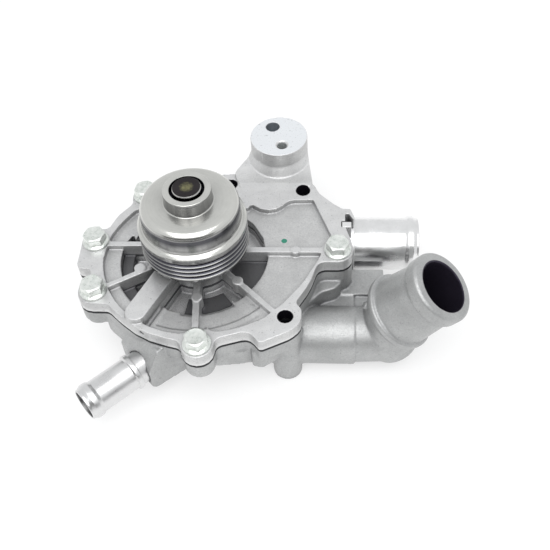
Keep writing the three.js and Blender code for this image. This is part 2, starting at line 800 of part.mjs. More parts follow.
function ballSet() {
  const parts = [turned([[10.2, BALL_Z - 1.2], [11.8, BALL_Z - 1.2], [11.8, BALL_Z + 1.2], [10.2, BALL_Z + 1.2]], 14)];
  const count = 9;
  for (let i = 0; i < count; i++) {
    const a = (i * 2 * Math.PI) / count;
    parts.push(ball(new THREE.Vector3(PITCH_RADIUS * Math.cos(a), PITCH_RADIUS * Math.sin(a), BALL_Z), BALL_RADIUS, 6));
  }
  return union(parts);
}

function rollerSet() {
  const low = ROLLER_Z - ROLLER_LENGTH / 2;
  const high = ROLLER_Z + ROLLER_LENGTH / 2;
  const parts = [low - 0.6, high - 1].map((z) =>
    turned([[10, z], [12.4, z], [12.4, z + 1.6], [10, z + 1.6]], 14));
  const count = 11;
  for (let i = 0; i < count; i++) {
    const a = (i * 2 * Math.PI) / count;
    parts.push(post(PITCH_RADIUS * Math.cos(a), PITCH_RADIUS * Math.sin(a), low, high, ROLLER_RADIUS, 6));
  }
  return union(parts);
}

function bearingSeal(low) {
  return turned([
    [SHAFT_RADIUS + 0.3, low],
    [13.3, low],
    [13.3, low + 1.8],
    [SHAFT_RADIUS + 0.9, low + 1.8],
    [SHAFT_RADIUS + 0.3, low + 1.2],
  ], 18);
}

function impeller() {
  const bore = SHAFT_RADIUS + PRESS_GAP;
  const disc = turned([
    [bore, 23],
    [13, 23],
    [13, 27.4],
    [34.5, 28],
    [34.5, 29.8],
    [13, 30.6],
    [bore, 30.6],
  ], 20);
  const vanes = [];
  const count = 6;
  for (let i = 0; i < count; i++) {
    const path = new THREE.QuadraticBezierCurve(
      new THREE.Vector2(12.5, 0),
      new THREE.Vector2(22, -2),
      new THREE.Vector2(30.5, -14),
    );
    const points = path.getPoints(3);
    const outline = new THREE.Shape();
    outline.moveTo(points[0].x, points[0].y + 1.1);
    points.slice(1).forEach((p) => outline.lineTo(p.x + 0.5, p.y + 1.1));
    points.reverse().forEach((p) => outline.lineTo(p.x - 0.5, p.y - 1.1));
    outline.closePath();
    const vane = new THREE.ExtrudeGeometry(outline, { depth: 7.6, bevelEnabled: false });
    vane.translate(0, 0, 20.8);
    vane.rotateZ((i * 2 * Math.PI) / count);
    vanes.push(solid(vane));
  }
  return union([disc, ...vanes]);
}

// ---------- face seal ----------
const SEAL = { caseRadius: SEAL_BORE - PRESS_GAP, caseInner: 9.6, springRadius: 13.7, wire: 0.75 };

function sealCase() {
  return turned([
    [SEAL.caseInner, 42],
    [SEAL.caseInner + 1, 42],
    [SEAL.caseInner + 1, 48.2],
    [SEAL.caseRadius - 1, 48.2],
    [SEAL.caseRadius - 1, 38],
    [SEAL.caseRadius, 38],
    [SEAL.caseRadius, 49.2],
    [SEAL.caseInner, 49.2],
  ], 28);
}

class Helix extends THREE.Curve {
  constructor(radius, turns, low, high) {
    super();
    Object.assign(this, { radius, turns, low, high });
  }
  getPoint(t) {
    const a = t * this.turns * 2 * Math.PI;
    return new THREE.Vector3(
      this.radius * Math.cos(a),
      this.radius * Math.sin(a),
      this.low + (this.high - this.low) * t,
    );
  }
}

function sealSpring() {
  const turns = 2.5;
  const path = new Helix(SEAL.springRadius, turns, 42.2, 47.2);
  const wire = new THREE.Shape().absarc(0, 0, SEAL.wire, 0, 2 * Math.PI, false);
  const sweep = { extrudePath: path, steps: 24, curveSegments: 2, bevelEnabled: false };
  return solid(new THREE.ExtrudeGeometry(wire, sweep));
}

function carbonRing() {
  return turned([
    [11, 37.4],
    [11.6, 37.4],
    [11.6, 36],
    [13.8, 36],
    [13.8, 37.4],
    [15.8, 37.4],
    [15.8, 40.9],
    [11, 40.9],
  ], 18);
}

function ceramicSeat() {
  return turned([[9.5, 32.9], [14.6, 32.9], [14.6, 35.7], [9.5, 35.7]], 18);
}

function seatBoot() {
  return turned([[8.9, 31], [15.8, 31], [15.8, 34.6], [14.9, 34.6], [14.9, 32.6], [8.9, 32.6]], 18);
}

// ---------- bolts ----------
function coverBolt(x, y, turn) {
  const seat = COVER_TOP + 0.3;
  const hex = new THREE.CylinderGeometry(7.45, 7.45, 6.6, 6);
  hex.rotateX(Math.PI / 2);
  hex.rotateZ(THREE.MathUtils.degToRad(turn));
  hex.translate(x, y, seat + 4.3);
  return union([
    post(x, y, seat, seat + 1.2, 8.4),
    post(x, y, seat + 1.2, seat + 2.2, 8.4, 20, 7),
    solid(hex),
    post(x, y, LOBE_BOTTOM + 3, seat + 1, 3.9, 10),
  ]);
}

// ---------- the assembly ----------
const pump = new THREE.Group();
pump.name = "coolant_pump";

function add(name, body, surface, parent = pump) {
  const mesh = new THREE.Mesh(geometryOf(body), surface);
  mesh.name = name;
  parent.add(mesh);
  return mesh;
}

add("rear_housing", rearHousing(), CAST);
add("front_cover", frontCover(), CAST);

function gasket() {
  const low = GASKET_LOW + FACE_GAP;
  const high = GASKET_HIGH - FACE_GAP;
  const holes = [...BOLTS, ...MOUNT_HOLES].map(([x, y]) => post(x, y, low - 1, high + 1, 4.8, 10));
  const tab = box([COLLAR_TAB.reach - 0.5, COLLAR_TAB.low - 0.5, low - 1], [100, COLLAR_TAB.high + 0.5, high + 1]);
  const chamber = post(0, 0, low - 1, high + 1, 56, 32);
  return cut(prism(OUTLINE, low, high), [chamber, tab, ...holes]);
}

add("cover_gasket", gasket(), BLACK);

BOLTS.forEach(([x, y], i) => add(`cover_bolt_${i + 1}`, coverBolt(x, y, 12 + 17 * i), ZINC));

function ballPlug() {
  return ball(ARM_OUT.clone().multiplyScalar(DRAIN.rim).setZ(DRAIN.z), DRAIN.radius - PRESS_GAP - 0.1, 10);
}

add("drain_ball_plug", ballPlug(), STEEL);

// hose tubes, each turned from its own axis into place
const rightGroup = new THREE.Group();
rightGroup.position.set(RIGHT_TUBE.start, RIGHT_TUBE.y, RIGHT_TUBE.z);
rightGroup.rotation.y = Math.PI / 2;
pump.add(rightGroup);
const rightLength = RIGHT_TUBE.end - RIGHT_TUBE.start;
add(
  "right_hose_tube",
  beadedTube(RIGHT_TUBE.radius, RIGHT_TUBE.wall, rightLength, 0, 1, 28),
  BRIGHT,
  rightGroup,
);
add("right_tube_collar", tubeCollar(), BRIGHT);

const leftGroup = new THREE.Group();
const leftMouth = new THREE.Vector3(LEFT_TUBE.x, LEFT_TUBE.y, LEFT_TUBE.z);
const leftStart = leftMouth.addScaledVector(leftAxis(), -LEFT_TUBE.inside);
leftGroup.position.copy(leftStart);
leftGroup.quaternion.setFromUnitVectors(new THREE.Vector3(0, 0, 1), leftAxis());
pump.add(leftGroup);
add(
  "left_hose_tube",
  beadedTube(LEFT_TUBE.radius, LEFT_TUBE.wall, LEFT_TUBE.inside + LEFT_TUBE.length, LEFT_TUBE.inside + 1, 1.1, 24),
  BRIGHT,
  leftGroup,
);

// rotor and bearing
add("shaft", shaft(), STEEL);
add("pulley", pulley(), STEEL);
add("impeller", impeller(), STEEL);
add("bearing_outer_race", race(), STEEL);
add("bearing_ball_set", ballSet(), CAGE);
add("bearing_roller_set", rollerSet(), CAGE);
add("bearing_seal_front", bearingSeal(RACE_HIGH - 2.2), BLACK);
add("bearing_seal_rear", bearingSeal(RACE_LOW + 0.4), BLACK);

// face seal
add("seal_case", sealCase(), BRASS);
add("seal_spring", sealSpring(), STEEL);
add("seal_carbon_ring", carbonRing(), CARBON);
add("seal_ceramic_seat", ceramicSeat(), CERAMIC);
add("seal_seat_boot", seatBoot(), BLACK);

export default pump;
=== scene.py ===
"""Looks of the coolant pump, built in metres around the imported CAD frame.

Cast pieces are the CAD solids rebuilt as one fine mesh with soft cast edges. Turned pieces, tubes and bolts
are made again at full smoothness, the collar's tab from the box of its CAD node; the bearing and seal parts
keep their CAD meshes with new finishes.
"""

import math

import bmesh
import bpy
from mathutils import Matrix, Vector


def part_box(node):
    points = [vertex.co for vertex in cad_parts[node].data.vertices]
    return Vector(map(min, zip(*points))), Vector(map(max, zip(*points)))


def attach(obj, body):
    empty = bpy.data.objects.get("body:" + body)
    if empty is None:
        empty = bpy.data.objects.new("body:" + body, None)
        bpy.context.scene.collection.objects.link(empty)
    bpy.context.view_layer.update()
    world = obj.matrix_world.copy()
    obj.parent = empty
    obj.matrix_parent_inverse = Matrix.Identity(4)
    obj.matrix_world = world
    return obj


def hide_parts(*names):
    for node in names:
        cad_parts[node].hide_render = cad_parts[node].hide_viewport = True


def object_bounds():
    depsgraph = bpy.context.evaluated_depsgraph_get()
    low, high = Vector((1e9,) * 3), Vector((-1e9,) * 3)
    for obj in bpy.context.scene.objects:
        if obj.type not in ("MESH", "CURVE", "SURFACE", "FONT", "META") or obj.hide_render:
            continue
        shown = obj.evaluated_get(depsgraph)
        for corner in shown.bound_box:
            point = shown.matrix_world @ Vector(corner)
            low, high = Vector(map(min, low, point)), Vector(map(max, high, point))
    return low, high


MM = 0.001
ROUND = 128  # segments of a large turned piece

# Driving sizes in millimetres, in the frame's axes, with the shaft on Z.
PARTING_LOW = 44.9  # the dark edge of the gasket between the castings
PARTING_HIGH = 46.8
PARTING_END_X = 97.5  # the neck and the tubes beyond it have no parting line
COVER_TOP = 55.0
BOLT_SEAT = 55.3
ARM_TOP = 58.5
TENSIONER_TOP = 73.0
MACHINED_HEIGHTS = (COVER_TOP, BOLT_SEAT, ARM_TOP, TENSIONER_TOP)
POCKET_DEEP = 45.5  # the cover is painted paler from here down, as painted fill light
POCKET_SHALLOW = 50.5
TENSIONER_ARM_Y = 62.0
SHAFT_END = 112.4
SHAFT_RADIUS = 8.6
PULLEY_RADIUS = 33.0
PULLEY_LOW = 66.0
PULLEY_BORE = 10.3
GROOVES_TOP = 82.6
GROOVE_PITCH = 3.56  # of an automotive ribbed belt

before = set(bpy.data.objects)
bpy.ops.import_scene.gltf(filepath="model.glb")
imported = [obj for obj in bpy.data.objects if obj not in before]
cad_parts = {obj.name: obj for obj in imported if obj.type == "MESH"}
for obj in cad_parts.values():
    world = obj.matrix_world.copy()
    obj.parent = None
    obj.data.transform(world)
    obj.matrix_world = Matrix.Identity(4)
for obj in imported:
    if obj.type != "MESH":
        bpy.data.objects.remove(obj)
CAD_LOW, CAD_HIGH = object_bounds()


# ---------- camera ----------
def make_camera():
    data = bpy.data.cameras.new("camera")
    data.sensor_width = 36
    data.lens = 54.11
    data.clip_end = 10
    camera = bpy.data.objects.new("camera", data)
    right = Vector((0.99780, 0.04765, -0.04604))
    up = Vector((-0.00825, 0.77880, 0.62721))
    back = Vector((0.06574, -0.62546, 0.77748))
    turn = Matrix((right, up, back)).transposed()
    place = Vector((82.312, -332.769, 446.335)) * MM
    camera.matrix_world = Matrix.Translation(place) @ turn.to_4x4()
    bpy.context.scene.collection.objects.link(camera)
    bpy.context.scene.camera = camera


make_camera()


# ---------- materials ----------
class Graph:
    """A material's node tree, with its surface shader, built by short calls."""

    def __init__(self, name, **shader):
        self.material = bpy.data.materials.new(name)
        self.material.use_nodes = True
        self.tree = self.material.node_tree
        self.shader = self.tree.nodes["Principled BSDF"]
        for key, value in shader.items():
            self.shader.inputs[key.replace("_", " ").title()].default_value = value
        self.place = self.add("ShaderNodeTexCoord").outputs["Object"]

    def add(self, kind, inputs=None, **settings):
        node = self.tree.nodes.new(kind)
        for key, value in settings.items():
            setattr(node, key, value)
        for key, value in (inputs or {}).items():
            self.put(node.inputs[key], value)
        return node

    def put(self, socket, value):
        if isinstance(value, bpy.types.NodeSocket):
            self.tree.links.new(value, socket)
        else:
            socket.default_value = value

    def math(self, operation, a, b=0.0, c=0.0):
        return self.add("ShaderNodeMath", {0: a, 1: b, 2: c}, operation=operation).outputs[0]

    def vector(self, operation, a, b=(0.0, 0.0, 0.0)):
        return self.add("ShaderNodeVectorMath", {0: a, 1: b}, operation=operation)

    def noise(self, scale, detail=3.0, roughness=0.55, vector=None, distortion=0.0):
        inputs = {
            "Vector": vector or self.place,
            "Scale": scale,
            "Detail": detail,
            "Roughness": roughness,
            "Distortion": distortion,
        }
        return self.add("ShaderNodeTexNoise", inputs).outputs["Fac"]

    def span(self, value, low, high, to_low=0.0, to_high=1.0):
        inputs = {"Value": value, "From Min": low, "From Max": high, "To Min": to_low, "To Max": to_high}
        return self.add("ShaderNodeMapRange", inputs, clamp=True).outputs[0]

    def mix(self, factor, a, b):
        node = self.add("ShaderNodeMix", {0: factor, 6: a, 7: b}, data_type="RGBA")
        return node.outputs[2]

    def coordinates(self):
        node = self.add("ShaderNodeSeparateXYZ", {0: self.place})
        return node.outputs[0], node.outputs[1], node.outputs[2]

    def facing_up(self):
        """The rise of the face's normal: 1 on a level top."""
        normal = self.add("ShaderNodeNewGeometry").outputs["True Normal"]
        return self.add("ShaderNodeSeparateXYZ", {0: normal}).outputs[2]

    def radius(self):
        """Distance from the piece's own Z axis."""
        x, y, _ = self.coordinates()
        squares = self.math("ADD", self.math("MULTIPLY", x, x), self.math("MULTIPLY", y, y))
        return self.math("SQRT", squares)

    def open_sky(self, distance, power):
        """1 in the open, towards 0 in recesses narrower than the distance."""
        node = self.add("ShaderNodeAmbientOcclusion", {"Distance": distance}, samples=4)
        return self.math("POWER", node.outputs["AO"], power)

    def from_line(self, point, direction):
        """Distance from the line through a point, both in millimetres."""
        vector = self.vector("SUBTRACT", self.place, Vector(point) * MM)
        crossed = self.vector("CROSS_PRODUCT", vector.outputs[0], Vector(direction))
        return self.vector("LENGTH", crossed.outputs[0]).outputs["Value"]

    def inside_line(self, point, direction, radius):
        """1 within a radius in millimetres of that line."""
        return self.span(self.from_line(point, direction), radius * MM, (radius + 0.1) * MM, 1.0, 0.0)

    def bump(self, height, distance, strength=1.0, before=None):
        inputs = {"Height": height, "Distance": distance, "Strength": strength}
        if before is not None:
            inputs["Normal"] = before
        return self.add("ShaderNodeBump", inputs).outputs[0]

    def finish(self, color=None, roughness=None, normal=None):
        for key, value in (("Base Color", color), ("Roughness", roughness), ("Normal", normal)):
            if value is not None:
                self.put(self.shader.inputs[key], value)
        return self.material


def grey(value):
    return (value, value, value, 1)


def upward(g, low=0.97):
    """1 on faces that point straight up, 0 where the normal's rise is under low."""
    return g.span(g.facing_up(), low, 0.995)


def band(g, value, low, high, soft):
    rise = g.span(value, low - soft, low)
    fall = g.span(value, high, high + soft, 1.0, 0.0)
    return g.math("MULTIPLY", rise, fall)


def machined_mask(g, faces):
    """1 on upward faces at one of the machined heights in mm."""
    _, _, z = g.coordinates()
    cut = None
    for face in faces:
        one = band(g, z, (face - 0.5) * MM, (face + 0.6) * MM, 0.0001)
        cut = one if cut is None else g.math("MAXIMUM", cut, one)
    return g.math("MULTIPLY", cut, upward(g))


def cast_aluminium(name, base, faces, tint=(1.0, 1.0, 1.0), grain=1.0, bores=(), paint=None):
    """As-cast aluminium with grain, smudges and pores, with painted shade in recesses and creases and
    painted highlights on convex edges.

    A bore is its axis's point and direction, its radius in mm, and the tone of the painted shade inside it.
    """
    g = Graph(name, metallic=0.7)
    edge = g.add("ShaderNodeNewGeometry").outputs["Pointiness"]
    smudge = g.noise(42, 5, 0.65)
    grains = g.noise(1250, 3, 0.7)
    pores = g.span(g.noise(620, 2, 0.5), 0.65, 0.72)
    stains = g.span(g.noise(170, 4, 0.7), 0.6, 0.74)
    level = g.span(smudge, 0.32, 0.68)
    dark = tuple(base * 0.82 * t for t in tint) + (1,)
    light = tuple(min(1.0, base * 1.08 * t) for t in tint) + (1,)
    color = g.mix(level, dark, light)
    color = g.mix(g.span(grains, 0.35, 0.72, 0.0, 0.5), color, (base * 0.55, base * 0.56, base * 0.58, 1))
    color = g.mix(g.math("MULTIPLY", stains, 0.3), color, (base * 0.5, base * 0.5, base * 0.48, 1))
    # painted shade: creases and inside corners are painted darker
    color = g.mix(g.span(edge, 0.44, 0.49, 0.6, 0.0), color, (base * 0.35, base * 0.35, base * 0.37, 1))
    # painted highlight: convex edges are painted lighter
    color = g.mix(g.span(edge, 0.53, 0.6, 0.0, 0.6), color, grey(min(1.0, base * 1.35)))
    rough = g.span(grains, 0.3, 0.7, 0.36, 0.52)
    height = g.math("ADD", g.math("MULTIPLY", grains, grain), g.math("MULTIPLY", smudge, 0.6))
    waves = g.bump(g.noise(160, 3, 0.5), 0.0006, 0.3 * grain)
    normal = g.bump(height, 0.00013, 0.6 * grain, waves)
    if faces:
        # painted light: the cover is painted paler deep inside, and on the upward faces of the tensioner's
        # arm, as fill light
        _, y, z = g.coordinates()
        along_arm = g.span(y, TENSIONER_ARM_Y * MM, (TENSIONER_ARM_Y + 12) * MM, 0.0, 0.6)
        arm = g.math("MULTIPLY", along_arm, upward(g, 0.1))
        painted_fill_light = g.math("MAXIMUM", g.span(z, POCKET_DEEP * MM, POCKET_SHALLOW * MM, 0.8, 0.0), arm)
        color = g.mix(painted_fill_light, color, grey(min(1.0, base * 1.35)))
        cut = machined_mask(g, faces)
        cloud = g.span(g.noise(140, 4, 0.65), 0.3, 0.7)
        faced = g.mix(cloud, grey(min(1.0, base * 0.98)), grey(min(1.0, base * 1.16)))
        tensioner_face = g.span(z, (TENSIONER_TOP - 3) * MM, (TENSIONER_TOP - 2) * MM)
        faced = g.mix(tensioner_face, faced, (0.87, 0.90, 0.93, 1))
        color = g.mix(g.math("MULTIPLY", cut, 0.75), color, faced)
        rough = g.math("SUBTRACT", rough, g.math("MULTIPLY", cut, 0.1))
    color = g.mix(g.math("MULTIPLY", pores, 0.42), color, grey(base * 0.4))
    if paint:
        spot, radius, tone = paint
        color = g.mix(g.math("MULTIPLY", g.inside_line(spot, UPRIGHT, radius), 0.9), color, tone)
    # the parting line, then painted shade in the recesses and inside the bores
    x, _, z = g.coordinates()
    seam = band(g, z, PARTING_LOW * MM, PARTING_HIGH * MM, 0.2 * MM)
    inboard = g.span(x, PARTING_END_X * MM, (PARTING_END_X + 0.5) * MM, 0.85, 0.0)
    line = g.math("MULTIPLY", seam, inboard)
    color = g.mix(line, color, (0.02, 0.02, 0.024, 1))
    # painted shade: the colour darkens where recesses close in
    wide_sky = g.open_sky(0.03, 0.12)
    near_sky = g.open_sky(0.0045, 0.4)
    sky = g.math("MULTIPLY", wide_sky, near_sky)
    color = g.mix(sky, (0.05, 0.05, 0.06, 1), color)
    # painted shade: each bore is painted in its own shade tone
    for point, direction, radius, tone in bores:
        color = g.mix(g.inside_line(point, direction, radius), color, tone)
    return g.finish(color, rough, normal)


def turned_metal(name, base, tint, rough, lines=1.0, anisotropic=0.5):
    """Spun or turned steel: fine lines round the piece's own Z axis and a faint stain."""
    g = Graph(name, metallic=1.0)
    g.shader.inputs["Anisotropic"].default_value = anisotropic
    tangent = g.add("ShaderNodeTangent", direction_type="RADIAL", axis="Z")
    g.put(g.shader.inputs["Tangent"], tangent.outputs[0])
    _, _, z = g.coordinates()
    radius = g.radius()
    line_place = g.add("ShaderNodeCombineXYZ", {0: radius, 1: z, 2: 0.0}).outputs[0]
    fine = g.noise(5200, 2, 0.6, line_place)
    wide = g.noise(900, 2, 0.5, line_place)
    stain = g.noise(55, 3, 0.6)
    dark = tuple(base * 0.88 * t for t in tint) + (1,)
    light = tuple(min(1.0, base * 1.08 * t) for t in tint) + (1,)
    blend = g.math("ADD", g.math("MULTIPLY", fine, 0.5), g.math("MULTIPLY", stain, 0.5))
    color = g.mix(g.span(blend, 0.35, 0.65), dark, light)
    roughness = g.span(wide, 0.3, 0.7, rough * 0.8, rough * 1.25)
    normal = g.bump(g.math("ADD", fine, wide), 0.00003 * lines, 0.6)
    return g, color, roughness, normal


def pulley_steel():
    g, color, rough, normal = turned_metal("pulley_steel", 0.66, (1.0, 1.0, 0.955), 0.2, 0.5, 0.3)
    # painted shade: the pulley's bore is painted near black
    inside = g.span(g.radius(), (PULLEY_BORE + 0.08) * MM, (PULLEY_BORE + 0.14) * MM, 1.0, 0.0)
    color = g.mix(inside, color, grey(0.01))
    rough = g.math("MAXIMUM", rough, g.math("MULTIPLY", inside, 0.6))
    # painted shade: the sides are painted darker than the top, and the belt grooves are painted dark
    side = g.span(g.facing_up(), 0.1, 0.55, 0.55, 0.0)
    color = g.mix(side, color, (0.15, 0.15, 0.16, 1))
    # painted reflection: the drum's side is painted darkest under its shoulder, with dark reflection streaks
    # painted down it
    x, y, z = g.coordinates()
    painted_dark_band = g.math("MULTIPLY", band(g, z, 0.0950, 0.0980, 0.0035), g.math("MULTIPLY", side, 1.6))
    color = g.mix(painted_dark_band, color, (0.06, 0.06, 0.07, 1))
    around = g.add("ShaderNodeCombineXYZ", {0: x, 1: y, 2: 0.0}).outputs[0]
    painted_streaks = g.span(g.noise(260, 3, 0.6, around), 0.4, 0.68, 0.0, 0.6)
    color = g.mix(g.math("MULTIPLY", painted_streaks, side), color, (0.05, 0.05, 0.06, 1))
    # the belt grooves are painted nearly black and their ridges darker
    groove = g.span(g.radius(), (PULLEY_RADIUS - 0.8) * MM, (PULLEY_RADIUS - 0.1) * MM, 1.0, 0.25)
    low = g.span(z, (GROOVES_TOP - 0.1) * MM, (GROOVES_TOP + 0.9) * MM, 1.0, 0.0)
    shade = g.math("MULTIPLY", g.math("MULTIPLY", groove, low), 0.93)
    color = g.mix(shade, color, (0.04, 0.04, 0.055, 1))
    # painted shade in the pulley's recesses
    color = g.mix(g.open_sky(0.012, 0.6), (0.02, 0.02, 0.03, 1), color)
    return g.finish(color, rough, normal)


def dark_steel():
    """The shaft: ground sides, a dark end with an olive patch in its middle and a bright chamfer; below the
    chamfer the shaft is painted near black as shade in the pulley's bore.
    """
    g, color, rough, normal = turned_metal("dark_steel", 0.5, (1.0, 0.99, 0.96), 0.25)
    _, _, z = g.coordinates()
    end = g.span(z, (SHAFT_END - 0.07) * MM, (SHAFT_END - 0.02) * MM)
    patch_noise = g.noise(700, 3, 0.6)
    patch_edge = g.math("ADD", g.radius(), g.math("MULTIPLY", g.math("SUBTRACT", patch_noise, 0.5), 0.003))
    patch = g.span(patch_edge, 0.0018, 0.0044, 0.9, 0.0)
    face = g.mix(patch, (0.04, 0.036, 0.038, 1), (0.25, 0.24, 0.13, 1))
    face = g.mix(g.span(patch_noise, 0.4, 0.7, 0.0, 0.5), face, (0.05, 0.045, 0.045, 1))
    color = g.mix(end, color, face)
    # painted shade: below the chamfer the shaft is painted near black, as shade in the pulley's bore
    sides = g.span(z, (SHAFT_END - 0.8) * MM, (SHAFT_END - 0.7) * MM, 1.0, 0.0)
    color = g.mix(sides, color, (0.03, 0.03, 0.034, 1))
    rough = g.math("MAXIMUM", rough, g.math("MULTIPLY", end, 0.45))
    return g.finish(color, rough, normal)


def polished_tube(name, base, rough, bore=None):
    """Drawn aluminium tube: nearly a mirror, with soft smudges and a few fine scuffs, and painted shade near
    other parts and inside a given bore.
    """
    g = Graph(name, metallic=1.0)
    smear = g.noise(90, 3, 0.6)
    scuff = g.span(g.noise(1500, 2, 0.6), 0.62, 0.72)
    color = g.mix(g.span(smear, 0.35, 0.65), grey(base * 0.93), grey(base))
    color = g.mix(g.math("MULTIPLY", scuff, 0.2), color, grey(base * 0.6))
    # painted shade where other parts close in
    color = g.mix(g.open_sky(0.012, 0.15), grey(0.1), color)
    # painted shade inside the bore
    if bore:
        color = g.mix(g.inside_line(*bore), color, grey(0.3))
    roughness = g.span(smear, 0.3, 0.7, rough * 0.8, rough * 1.3)
    return g.finish(color, roughness, g.bump(scuff, 0.00001, 0.4))


def zinc_plate():
    g = Graph("zinc_bolt", metallic=0.85)
    cloud = g.noise(420, 4, 0.65)
    fine = g.noise(2600, 2, 0.6)
    edge = g.add("ShaderNodeNewGeometry").outputs["Pointiness"]
    color = g.mix(g.span(cloud, 0.35, 0.65), (0.66, 0.70, 0.66, 1), (0.86, 0.88, 0.85, 1))
    color = g.mix(g.span(fine, 0.55, 0.75, 0.0, 0.25), color, (0.52, 0.56, 0.5, 1))
    # painted highlight: convex edges are painted lighter
    color = g.mix(g.span(edge, 0.52, 0.58, 0.0, 0.5), color, (0.93, 0.94, 0.92, 1))
    rough = g.span(cloud, 0.3, 0.7, 0.24, 0.4)
    normal = g.bump(g.math("ADD", fine, cloud), 0.00006, 0.5)
    return g.finish(color, rough, normal)


def matte(name, base, rough, grain=1500, metallic=0.0, depth=0.00008):
    """A dull surface with grain and cloudy colour, for rubber, carbon and ceramic."""
    g = Graph(name, metallic=metallic)
    cloud = g.noise(240, 3, 0.6)
    fine = g.noise(grain, 3, 0.7)
    dark = tuple(c * 0.75 for c in base) + (1,)
    light = tuple(c * 1.2 for c in base) + (1,)
    color = g.mix(g.span(cloud, 0.3, 0.7), dark, light)
    roughness = g.span(fine, 0.3, 0.7, rough * 0.85, min(1.0, rough * 1.15))
    return g.finish(color, roughness, g.bump(fine, depth, 0.6))


MOUTH = Vector((147.9, -36, 68.5))
NECK_TURN = math.radians(-10.1)
NECK_RISE = math.radians(55.3)
NECK_AXIS = Vector((
    math.cos(NECK_RISE) * math.cos(NECK_TURN),
    math.cos(NECK_RISE) * math.sin(NECK_TURN),
    math.sin(NECK_RISE),
))
BOLTS = [(-66.3, 8.1), (-60.6, -31.3), (6.7, -69.3), (87.2, 2.3), (-39.8, 49.2)]
MOUNT_HOLES = [(15.7, 59.6), (64.4, 54), (56.6, -49)]
# painted shade: the tones painted inside bores and holes, which lie in shade
BLACK_BORE_SHADE = (0.018, 0.016, 0.024, 1)
NECK_BORE_SHADE = (0.036, 0.030, 0.048, 1)
GREY_HOLE_SHADE = (0.36, 0.39, 0.42, 1)
PALE_HOLE_SHADE = (0.62, 0.64, 0.64, 1)
UPRIGHT = (0, 0, 1)
MOUNT_BORE_SHADES = [((x, y, 0), UPRIGHT, 4.75, BLACK_BORE_SHADE) for x, y in MOUNT_HOLES]
TENSIONER_HOLE_SHADES = [((43, 96.8, 0), UPRIGHT, 4.65, GREY_HOLE_SHADE), ((50.1, 78.8, 0), UPRIGHT, 3.35, PALE_HOLE_SHADE)]
INSPECTION_DOT = ((53.5, 12.5, 0), 1.8, (0.0, 0.26, 0.16, 1))
HOUSING_BORE_SHADES = [*MOUNT_BORE_SHADES, (MOUTH, NECK_AXIS, 16.5, NECK_BORE_SHADE)]
HOUSING_METAL = cast_aluminium("cast_aluminium", 0.50, (), (0.99, 1.0, 0.99), 1.15, HOUSING_BORE_SHADES)
COVER_METAL = cast_aluminium(
    "cover_aluminium", 0.66, MACHINED_HEIGHTS, (1.0, 1.0, 0.99), 1.0,
    [*MOUNT_BORE_SHADES, *TENSIONER_HOLE_SHADES], INSPECTION_DOT,
)
PULLEY_STEEL = pulley_steel()
SHAFT_STEEL = dark_steel()
TUBE_METAL = polished_tube("bright_tube", 0.88, 0.23)
LEFT_TUBE_FOOT = Vector((-34.4, -67.5, 24))
LEFT_TUBE_TURN = math.radians(223)
LEFT_TUBE_AXIS = Vector((math.cos(LEFT_TUBE_TURN), math.sin(LEFT_TUBE_TURN), 0))
SATIN_TUBE = polished_tube("satin_tube", 0.74, 0.3, (LEFT_TUBE_FOOT, LEFT_TUBE_AXIS, 9.0))
COLLAR_METAL = polished_tube("bright_collar", 0.92, 0.32)
ZINC = zinc_plate()
GASKET = matte("gasket", (0.02, 0.02, 0.022), 0.75)
RUBBER = matte("black_rubber", (0.022, 0.022, 0.024), 0.65)
CARBON = matte("carbon", (0.04, 0.04, 0.045), 0.4, 3000)
CERAMIC = matte("ceramic", (0.72, 0.7, 0.62), 0.22, 2600, 0.0, 0.00002)


def plain_turned(name, base, tint, rough):
    g, color, roughness, normal = turned_metal(name, base, tint, rough)
    return g.finish(color, roughness, normal)


BEARING_STEEL = plain_turned("bearing_steel", 0.6, (1.0, 1.0, 0.99), 0.18)
IMPELLER_STEEL = plain_turned("impeller_steel", 0.55, (1.0, 0.99, 0.97), 0.35)
BRASS = plain_turned("seal_brass", 0.55, (1.12, 0.82, 0.4), 0.3)


# ---------- meshes ----------
def new_object(name, bm, material, sharp=35):
    mesh = bpy.data.meshes.new(name)
    bm.normal_update()
    bm.to_mesh(mesh)
    bm.free()
    mesh.shade_smooth()
    if sharp:
        mesh.set_sharp_from_angle(angle=math.radians(sharp))
    mesh.materials.append(material)
    made = bpy.data.objects.new(name, mesh)
    bpy.context.scene.collection.objects.link(made)
    return made


def register(piece, body, slot, *nodes):
    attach(piece, body)
    if nodes:
        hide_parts(*nodes)
    return piece


def filleted(corners, closed=True, steps=5):
    """[x, y, fillet radius] corners as a smooth chain of points."""
    points = []
    count = len(corners)
    for i, (x, y, radius) in enumerate(corners):
        here = Vector((x, y))
        if radius == 0 or (not closed and i in (0, count - 1)):
            points.append(here)
            continue
        before = Vector(corners[i - 1][:2]) - here
        after = Vector(corners[(i + 1) % count][:2]) - here
        half = before.angle(after) / 2
        reach = min(radius / math.tan(half), 0.49 * before.length, 0.49 * after.length)
        start = here + before.normalized() * reach
        end = here + after.normalized() * reach
        for k in range(steps + 1):
            t = k / steps
            points.append(start * (1 - t) ** 2 + here * 2 * t * (1 - t) + end * t ** 2)
    return points


